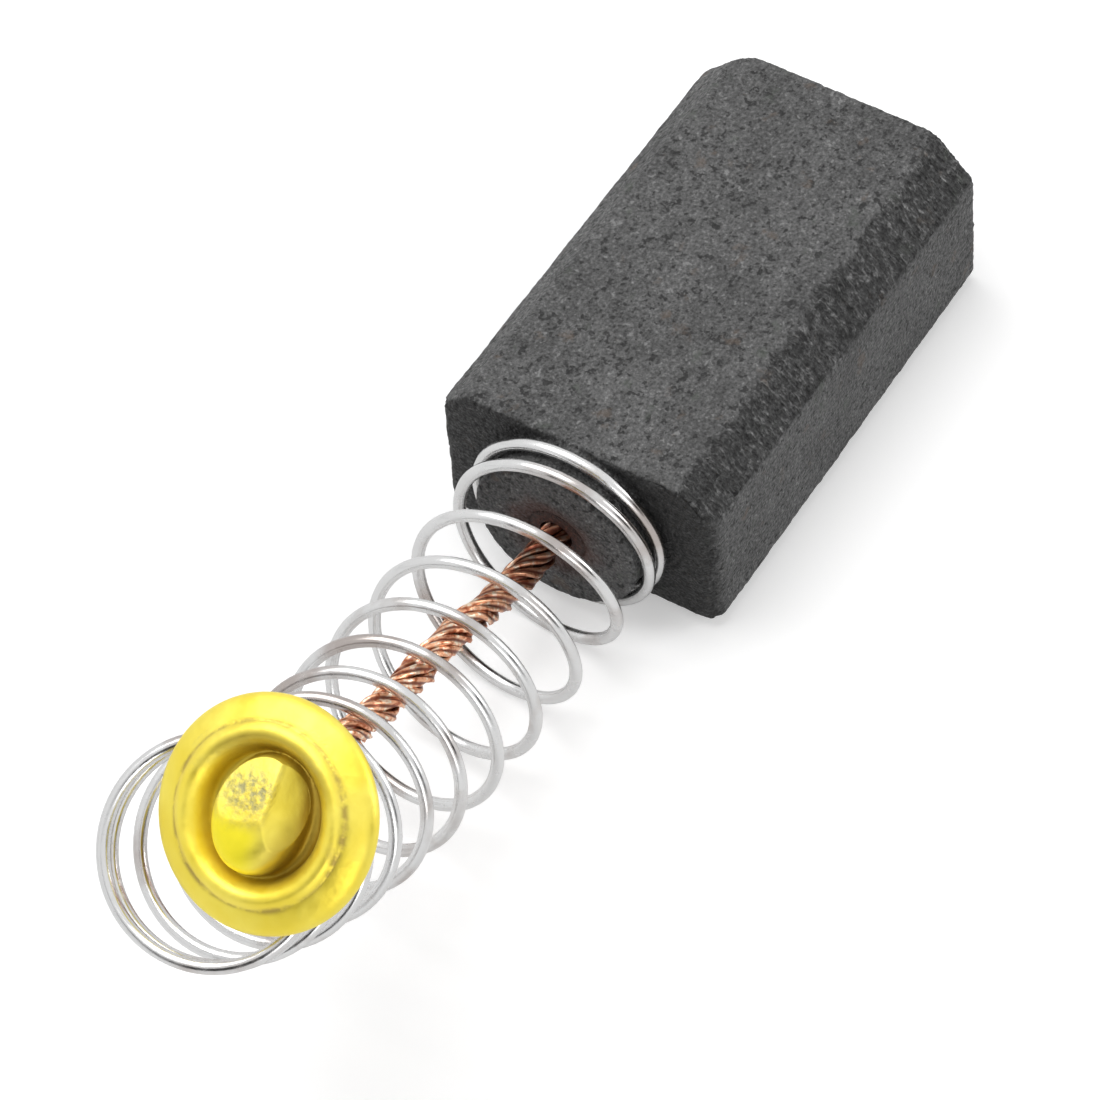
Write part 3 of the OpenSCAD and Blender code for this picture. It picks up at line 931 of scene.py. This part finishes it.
def dullness(place, radius, shape):
    # painted shade in the recess, most of all on the side away from the light
    low = 1 - smoothStep(place.z, 0.25, 0.75)
    inside = 1 - smoothStep(radius, 1.45, 1.75)
    side = smoothStep(place.x * 0.9 + place.y * 0.4, -1.2, 1.3)
    recess = inside * low * (shape["dullRecess"] + shape["dullSide"] * side)
    # painted shade too on the dome's steep side and on the wall of the mouth, where they face away from
    # the light
    steep = smoothStep(place.x * 0.9 - place.y * 0.15, 0.45, 1.0) * (1 - smoothStep(radius, 1.2, 1.45))
    wall = smoothStep(place.y, 0.4, 1.5)
    wall *= smoothStep(radius, 1.42, 1.55) * (1 - smoothStep(radius, 1.78, 1.98))
    return min(1.0, recess + shape["dullSteep"] * steep + shape["dullWall"] * wall)


def markWear(piece, shape):
    # darker along the crease outside the ring, and the first flat is bruised
    worn, bruised, dulled, polished = [], [], [], []
    middle, normal = flatPlane(shape["flats"][0])
    for vertex in piece.data.vertices:
        place = vertex.co
        radius = math.hypot(place.x, place.y)
        patch = max(0.0, noise.noise(place * 0.9) + 0.15)
        crease = math.exp(-((radius - shape["creaseRadius"]) / (0.035 + 0.05 * patch)) ** 2)
        smudge = 0.5 * spot(place, shape["smudge"], shape["smudgeSize"])
        worn.append(min(1.0, crease * (0.66 + 0.5 * patch) + smudge))
        onFlat = 1 - smoothStep(abs((place - middle).dot(normal)), 0.02, 0.11)
        centre = spot(place, shape["bruise"], shape["bruiseSize"])
        bruised.append(onFlat * min(1.0, 0.14 + 1.3 * centre) if place.z > 0.6 else 0.0)
        dulled.append(dullness(place, radius, shape))
        # painted highlight on the low side of the dome
        bulge = smoothStep(-place.y, 0.0, 0.45) * smoothStep(place.z, 0.45, 0.75)
        bulge *= smoothStep(-place.x, -0.7, -0.1)
        polished.append(bulge * (1 - smoothStep(radius, 1.3, 1.45)))
    paint(piece, wear=worn, pressed=bruised, dulled=dulled, polished=polished)


shunt = {
    "diameter": 0.87, "depth": 2.4, "twist": 4.4, "outer": 6, "ringStep": 0.07, "sides": 24,
    "hug": 1.88, "bendStart": 1.1, "bendLength": 6.4, "turnIn": 0.62, "fill": 0.4,
    "uneven": 0.34, "loose": 0.22, "sootLevel": 0.8, "sootLength": 0.35,
    "fineWires": {"count": 3, "depth": 0.38, "twist": 0.06, "loose": 0.24, "looseScale": 1.6},
}


def shuntPoint(s):
    turnIn = shunt["turnIn"] * springEnd
    offset = (shunt["hug"] * smoothStep(s, shunt["bendStart"], shunt["bendStart"] + shunt["bendLength"])
              + (cap["shiftIn"] - shunt["hug"]) * smoothStep(s, turnIn, springEnd))
    sideways = cap["shiftSide"] * smoothStep(s, turnIn, springEnd)
    return axisPoint(s) + axisIn(s) * offset - axisSide * sideways


def shuntFrame(s):
    along = (shuntPoint(s + 0.05) - shuntPoint(s - 0.05)).normalized()
    side = along.cross(axisIn(s)).normalized()
    return side.cross(along), side


def buildStrand(number):
    start = block["spigotLength"] - shunt["depth"]
    end = springEnd + capLift + cap["domeHeight"] * shunt["fill"]
    count = math.ceil((end - start) / shunt["ringStep"])
    points, references = [], []
    radius = 0.0 if number == 0 else shunt["diameter"] / 3
    for i in range(count + 1):
        s = start + (end - start) * i / count
        angle = 2 * math.pi * (number / shunt["outer"] + (s - start) / shunt["twist"])
        angle += shunt["uneven"] * noise.noise(Vector((s * 0.9, number * 1.9, 4.5)))
        inward, side = shuntFrame(s)
        reference = math.cos(angle) * inward + math.sin(angle) * side
        loose = 1 + shunt["loose"] * noise.noise(Vector((s * 1.1, number * 3.7, 0.5)))
        points.append(shuntPoint(s) + radius * loose * reference)
        references.append(reference)
    sides = shunt["sides"]
    strand = sweptTube("strand", points, references, shunt["diameter"] / 6, sides, shunt["fineWires"])
    # painted shade for the grooves between the fine wires, and marks for the soot near the block
    spots = range(len(strand.data.vertices))
    sooty = shunt["sootLength"] * count
    gaps = [grooveAt(2 * math.pi * (v % sides) / sides, shunt["fineWires"]) for v in spots]
    soots = [shunt["sootLevel"] * (1 - smoothStep(v // sides, sooty / 4, sooty)) for v in spots]
    paint(strand, gap=gaps, soot=soots)
    return strand


springWire = finishPiece(buildSpring(), "springWire", steel, ["spring"])
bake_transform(springWire)
print("spring done:", len(springWire.data.polygons), "faces")

contactCap = finishPiece(buildCap(cap), "contactCap", brass, ["terminal_cap"])
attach(contactCap, "cap")
print("cap done:", len(contactCap.data.polygons), "faces")

for number in range(shunt["outer"] + 1):
    node = "shunt_core" if number == 0 else f"shunt_strand_{number}"
    name = "shuntCore" if number == 0 else f"shuntStrand{number}"
    strand = finishPiece(buildStrand(number), name, copper, [node])
    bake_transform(strand)
print("shunt done")


studio = {
    "floorSize": 4, "floorGap": 0.00001, "floorShade": 0.80, "floorRoughness": 0.9,
    "floorGlow": 0.375, "glossyGlow": 0.5, "worldFill": 0.34,
    "aim": (-14, 0, 2),
    "key": {"place": (-15, 80, 240), "size": 220, "power": 0.455},
    "front": {"place": (-190, -130, 50), "size": 80, "power": 0.065},
    "side": {"place": (150, -220, 120), "size": 120, "power": 0.25},
    # dark boards that only the metal's reflections show: place, width, height
    "flags": [((-262, -25, 92), 190, 170), ((-36, -249, 82), 130, 110)],
    "flagShade": 0.03, "flagAim": (-14, 0, 0),
}


def makeFloor(setup):
    deselectAll()
    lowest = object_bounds()[0].z
    bpy.ops.mesh.primitive_plane_add(size=setup["floorSize"], location=(0, 0, lowest - setup["floorGap"]))
    floor = bpy.context.object
    floor.name = "floor"
    material = bpy.data.materials.new("floorPaper")
    material.use_nodes = True
    tree = material.node_tree
    shader = tree.nodes["Principled BSDF"]
    shader.inputs["Base Color"].default_value = grey(setup["floorShade"])
    shader.inputs["Roughness"].default_value = setup["floorRoughness"]
    shader.inputs["Specular IOR Level"].default_value = 0.0
    path = tree.nodes.new("ShaderNodeLightPath")
    mirrored = maths(tree, "MULTIPLY", path.outputs["Is Glossy Ray"], setup["glossyGlow"])
    seen = maths(tree, "MAXIMUM", path.outputs["Is Camera Ray"], mirrored)
    glow = maths(tree, "MULTIPLY", seen, setup["floorGlow"])
    shader.inputs["Emission Color"].default_value = grey(1)
    tree.links.new(glow, shader.inputs["Emission Strength"])
    floor.data.materials.append(material)
    floor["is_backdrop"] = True


def makeFlags(setup):
    material = bpy.data.materials.new("blackBoard")
    material.use_nodes = True
    shader = material.node_tree.nodes["Principled BSDF"]
    shader.inputs["Base Color"].default_value = grey(setup["flagShade"])
    for number, (place, width, height) in enumerate(setup["flags"]):
        deselectAll()
        bpy.ops.mesh.primitive_plane_add(size=1, location=Vector(place) * toMetres)
        flag = bpy.context.object
        flag.name = f"flag{number + 1}"
        flag.scale = (width * toMetres, height * toMetres, 1)
        aim = Vector(setup["flagAim"]) - Vector(place)
        flag.rotation_euler = aim.to_track_quat("Z", "Y").to_euler()
        flag.visible_camera = False
        flag.visible_shadow = False
        flag.visible_diffuse = False
        flag.data.materials.append(material)
        flag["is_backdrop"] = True


def makeLamp(name, setup, target):
    data = bpy.data.lights.new(name, "AREA")
    data.size = setup["size"] * toMetres
    data.energy = setup["power"]
    lamp = bpy.data.objects.new(name, data)
    bpy.context.scene.collection.objects.link(lamp)
    place = Vector(setup["place"]) * toMetres
    turn = (Vector(target) * toMetres - place).to_track_quat("-Z", "Y").to_matrix().to_4x4()
    lamp.matrix_world = Matrix.Translation(place) @ turn


def makeWorld(setup):
    world = bpy.data.worlds.new("studio")
    bpy.context.scene.world = world
    world.use_nodes = True
    tree = world.node_tree
    background = tree.nodes["Background"]
    path = tree.nodes.new("ShaderNodeLightPath")
    mirrored = maths(tree, "MAXIMUM", path.outputs["Is Glossy Ray"], path.outputs["Is Transmission Ray"])
    seen = maths(tree, "MAXIMUM", path.outputs["Is Camera Ray"], mirrored)
    brighter = maths(tree, "MULTIPLY", seen, 1 - setup["worldFill"])
    strength = maths(tree, "ADD", setup["worldFill"], brighter)
    background.inputs["Color"].default_value = grey(1)
    tree.links.new(strength, background.inputs["Strength"])


makeFloor(studio)
makeFlags(studio)
makeLamp("keyLamp", studio["key"], studio["aim"])
makeLamp("sideLamp", studio["side"], studio["aim"])
makeLamp("frontLamp", studio["front"], studio["aim"])
makeWorld(studio)
bpy.context.scene.view_settings.view_transform = "Standard"
print("studio ready")
